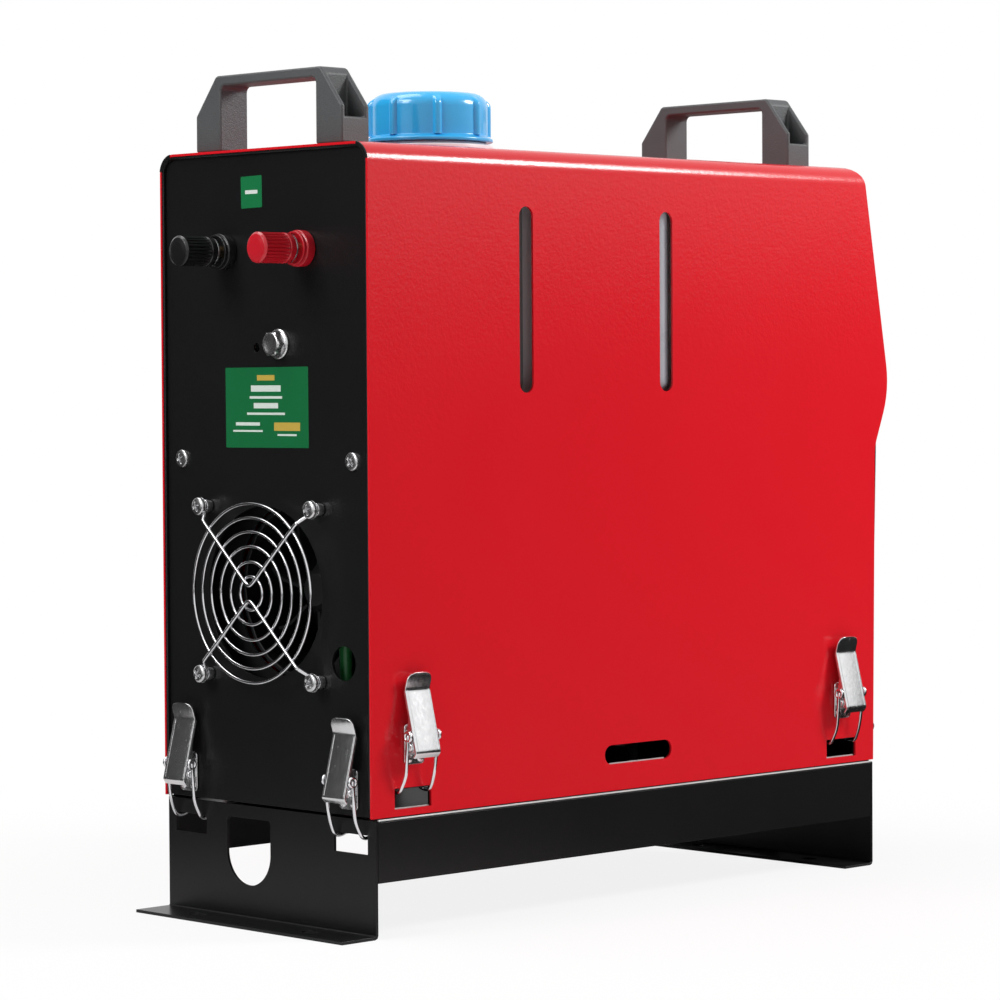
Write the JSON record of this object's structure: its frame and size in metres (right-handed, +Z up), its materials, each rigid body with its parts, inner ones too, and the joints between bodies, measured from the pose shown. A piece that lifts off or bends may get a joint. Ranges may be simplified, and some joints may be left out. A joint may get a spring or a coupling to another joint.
{
  "type": "portable diesel air heater",
  "caption": "Portable diesel air heater: folded metal cover over a footed base, wire fan guard, screw terminals, filler cap, carrying handles, draw latches, display and warm air outlet.",
  "frame": {"origin": "centre of the outer box on the floor, under the feet", "axes": "+Z up, +X towards the warm air outlet and display, -Y the side with the cover seen in the picture; fan guard and terminals face -X"},
  "size_m": [0.4086, 0.1756, 0.4135],
  "materials": {
    "red_paint": "gloss powder coat",
    "black_paint": "satin powder coat",
    "grey_plastic": "moulded, fine texture",
    "black_plastic": "moulded",
    "red_plastic": "moulded",
    "chrome": "bright plated wire",
    "zinc": "bright zinc plate",
    "aluminium": "as cast",
    "brass": "turned",
    "tank_plastic": "blow moulded, milky",
    "blue_plastic": "moulded",
    "green_rubber": "smooth hose",
    "black_rubber": "flat seal",
    "nylon": "thin drawn tube"
  },
  "bodies": {
    "housing": {"base_tray": "black_paint", "back_foot": "black_paint", "front_foot": "black_paint", "cover": "red_paint", "back_panel": "black_paint", "front_panel": "black_paint", "handle_back": "grey_plastic", "handle_front": "grey_plastic", "fan_guard": "chrome", "black_terminal_base": "black_plastic", "black_terminal_stud": "brass", "red_terminal_base": "red_plastic", "red_terminal_stud": "brass", "fuel_tank": "tank_plastic", "tank_shelf": "black_paint", "heater_casing": "black_plastic", "heat_exchanger": "aluminium", "fan_motor": "zinc", "glow_plug": "brass", "fuel_pump": "zinc", "fuel_hose": "green_rubber", "delivery_line": "nylon", "outlet_bezel": "black_plastic", "controller_body": "black_plastic", "back_latch_right_bracket": "zinc", "back_latch_left_bracket": "zinc", "front_latch_right_bracket": "zinc", "front_latch_left_bracket": "zinc", "right_latch_back_bracket": "zinc", "right_latch_front_bracket": "zinc", "left_latch_back_bracket": "zinc", "left_latch_front_bracket": "zinc"},
    "black_insert": {"black_terminal_insert": "zinc"},
    "black_knob": {"black_terminal_knob": "black_plastic"},
    "red_insert": {"red_terminal_insert": "zinc"},
    "red_knob": {"red_terminal_knob": "red_plastic"},
    "seal": {"cap_seal": "black_rubber"},
    "cap": {"fuel_cap": "blue_plastic"},
    "impeller": {"fan_impeller": "black_plastic"},
    "louvre": {"outlet_louvre": "black_plastic"},
    "button_1": {"button_1": "grey_plastic"},
    "button_2": {"button_2": "grey_plastic"},
    "button_3": {"button_3": "grey_plastic"},
    "button_4": {"button_4": "grey_plastic"},
    "back_latch_right_lever": {"back_latch_right_lever": "zinc"},
    "back_latch_left_lever": {"back_latch_left_lever": "zinc"},
    "front_latch_right_lever": {"front_latch_right_lever": "zinc"},
    "front_latch_left_lever": {"front_latch_left_lever": "zinc"},
    "right_latch_back_lever": {"right_latch_back_lever": "zinc"},
    "right_latch_front_lever": {"right_latch_front_lever": "zinc"},
    "left_latch_back_lever": {"left_latch_back_lever": "zinc"},
    "left_latch_front_lever": {"left_latch_front_lever": "zinc"},
    "back_latch_right_bail": {"back_latch_right_bail": "zinc"},
    "back_latch_left_bail": {"back_latch_left_bail": "zinc"},
    "front_latch_right_bail": {"front_latch_right_bail": "zinc"},
    "front_latch_left_bail": {"front_latch_left_bail": "zinc"},
    "right_latch_back_bail": {"right_latch_back_bail": "zinc"},
    "right_latch_front_bail": {"right_latch_front_bail": "zinc"},
    "left_latch_back_bail": {"left_latch_back_bail": "zinc"},
    "left_latch_front_bail": {"left_latch_front_bail": "zinc"}
  },
  "joints": [
    {"name": "black_post_travel", "type": "slide", "parent": "housing", "child": "black_insert", "axis": [-1, 0, 0], "range_m": [-0.0031, 0.0081]},
    {"name": "black_post_turn", "type": "hinge", "parent": "black_insert", "child": "black_knob", "pos_m": [-0.19389, 0.029, 0.327], "axis": [-1, 0, 0], "range_deg": [-1350, 3600]},
    {"name": "red_post_travel", "type": "slide", "parent": "housing", "child": "red_insert", "axis": [-1, 0, 0], "range_m": [-0.0031, 0.0081]},
    {"name": "red_post_turn", "type": "hinge", "parent": "red_insert", "child": "red_knob", "pos_m": [-0.19389, -0.029, 0.327], "axis": [-1, 0, 0], "range_deg": [-1350, 3600]},
    {"name": "cap_travel", "type": "slide", "parent": "housing", "child": "seal", "axis": [0, 0, 1], "range_m": [0, 0.0121]},
    {"name": "cap_turn", "type": "hinge", "parent": "seal", "child": "cap", "pos_m": [-0.06349, 0, 0.395], "axis": [0, 0, 1], "range_deg": [0, 720]},
    {"name": "fan_spin", "type": "hinge", "parent": "housing", "child": "impeller", "pos_m": [-0.13049, 0, 0.1612], "axis": [1, 0, 0], "continuous": true},
    {"name": "louvre_turn", "type": "hinge", "parent": "housing", "child": "louvre", "pos_m": [0.19392, 0, 0.16156], "axis": [0.9996, 0, -0.028], "continuous": true},
    {"name": "button_1_press", "type": "slide", "parent": "housing", "child": "button_1", "axis": [-0.9846, 0, -0.1747], "range_m": [0, 0.001], "stiffness_N_per_m": 300, "springref_m": -0.001},
    {"name": "button_2_press", "type": "slide", "parent": "housing", "child": "button_2", "axis": [-0.9846, 0, -0.1747], "range_m": [0, 0.001], "stiffness_N_per_m": 300, "springref_m": -0.001},
    {"name": "button_3_press", "type": "slide", "parent": "housing", "child": "button_3", "axis": [-0.9846, 0, -0.1747], "range_m": [0, 0.001], "stiffness_N_per_m": 300, "springref_m": -0.001},
    {"name": "button_4_press", "type": "slide", "parent": "housing", "child": "button_4", "axis": [-0.9846, 0, -0.1747], "range_m": [0, 0.001], "stiffness_N_per_m": 300, "springref_m": -0.001},
    {"name": "back_latch_right_lever_swing", "type": "hinge", "parent": "housing", "child": "back_latch_right_lever", "pos_m": [-0.18029, -0.0593, 0.0695], "axis": [0, -1, 0], "range_deg": [0, 85]},
    {"name": "back_latch_right_bail_swing", "type": "hinge", "parent": "back_latch_right_lever", "child": "back_latch_right_bail", "pos_m": [-0.18029, -0.0593, 0.0745], "axis": [0, -1, 0], "range_deg": [-75, 0]},
    {"name": "back_latch_left_lever_swing", "type": "hinge", "parent": "housing", "child": "back_latch_left_lever", "pos_m": [-0.18029, 0.0593, 0.0695], "axis": [0, -1, 0], "range_deg": [0, 85]},
    {"name": "back_latch_left_bail_swing", "type": "hinge", "parent": "back_latch_left_lever", "child": "back_latch_left_bail", "pos_m": [-0.18029, 0.0593, 0.0745], "axis": [0, -1, 0], "range_deg": [-75, 0]},
    {"name": "front_latch_right_lever_swing", "type": "hinge", "parent": "housing", "child": "front_latch_right_lever", "pos_m": [0.19814, -0.0593, 0.0693], "axis": [0, 1, 0], "range_deg": [0, 85]},
    {"name": "front_latch_right_bail_swing", "type": "hinge", "parent": "front_latch_right_lever", "child": "front_latch_right_bail", "pos_m": [0.19828, -0.0593, 0.0743], "axis": [0, 1, 0], "range_deg": [-75, 0]},
    {"name": "front_latch_left_lever_swing", "type": "hinge", "parent": "housing", "child": "front_latch_left_lever", "pos_m": [0.19814, 0.0593, 0.0693], "axis": [0, 1, 0], "range_deg": [0, 85]},
    {"name": "front_latch_left_bail_swing", "type": "hinge", "parent": "front_latch_left_lever", "child": "front_latch_left_bail", "pos_m": [0.19828, 0.0593, 0.0743], "axis": [0, 1, 0], "range_deg": [-75, 0]},
    {"name": "right_latch_back_lever_swing", "type": "hinge", "parent": "housing", "child": "right_latch_back_lever", "pos_m": [-0.14889, -0.08355, 0.0905], "axis": [1, 0, 0], "range_deg": [0, 85]},
    {"name": "right_latch_back_bail_swing", "type": "hinge", "parent": "right_latch_back_lever", "child": "right_latch_back_bail", "pos_m": [-0.14889, -0.08355, 0.0955], "axis": [1, 0, 0], "range_deg": [-75, 0]},
    {"name": "right_latch_front_lever_swing", "type": "hinge", "parent": "housing", "child": "right_latch_front_lever", "pos_m": [0.16441, -0.08355, 0.0905], "axis": [1, 0, 0], "range_deg": [0, 85]},
    {"name": "right_latch_front_bail_swing", "type": "hinge", "parent": "right_latch_front_lever", "child": "right_latch_front_bail", "pos_m": [0.16441, -0.08355, 0.0955], "axis": [1, 0, 0], "range_deg": [-75, 0]},
    {"name": "left_latch_back_lever_swing", "type": "hinge", "parent": "housing", "child": "left_latch_back_lever", "pos_m": [-0.14889, 0.08355, 0.0905], "axis": [-1, 0, 0], "range_deg": [0, 85]},
    {"name": "left_latch_back_bail_swing", "type": "hinge", "parent": "left_latch_back_lever", "child": "left_latch_back_bail", "pos_m": [-0.14889, 0.08355, 0.0955], "axis": [-1, 0, 0], "range_deg": [-75, 0]},
    {"name": "left_latch_front_lever_swing", "type": "hinge", "parent": "housing", "child": "left_latch_front_lever", "pos_m": [0.16441, 0.08355, 0.0905], "axis": [-1, 0, 0], "range_deg": [0, 85]},
    {"name": "left_latch_front_bail_swing", "type": "hinge", "parent": "left_latch_front_lever", "child": "left_latch_front_bail", "pos_m": [0.16441, 0.08355, 0.0955], "axis": [-1, 0, 0], "range_deg": [-75, 0]}
  ],
  "couplings": [
    {"joint": "black_post_travel", "follows": "black_post_turn", "m_per_rad": 0.00012732},
    {"joint": "red_post_travel", "follows": "red_post_turn", "m_per_rad": 0.00012732},
    {"joint": "cap_travel", "follows": "cap_turn", "m_per_rad": 0.00095493},
    {"joint": "back_latch_right_bail_swing", "follows": "back_latch_right_lever_swing", "ratio": -0.874},
    {"joint": "back_latch_left_bail_swing", "follows": "back_latch_left_lever_swing", "ratio": -0.874},
    {"joint": "front_latch_right_bail_swing", "follows": "front_latch_right_lever_swing", "ratio": -0.874},
    {"joint": "front_latch_left_bail_swing", "follows": "front_latch_left_lever_swing", "ratio": -0.874},
    {"joint": "right_latch_back_bail_swing", "follows": "right_latch_back_lever_swing", "ratio": -0.874},
    {"joint": "right_latch_front_bail_swing", "follows": "right_latch_front_lever_swing", "ratio": -0.874},
    {"joint": "left_latch_back_bail_swing", "follows": "left_latch_back_lever_swing", "ratio": -0.874},
    {"joint": "left_latch_front_bail_swing", "follows": "left_latch_front_lever_swing", "ratio": -0.874}
  ]
}
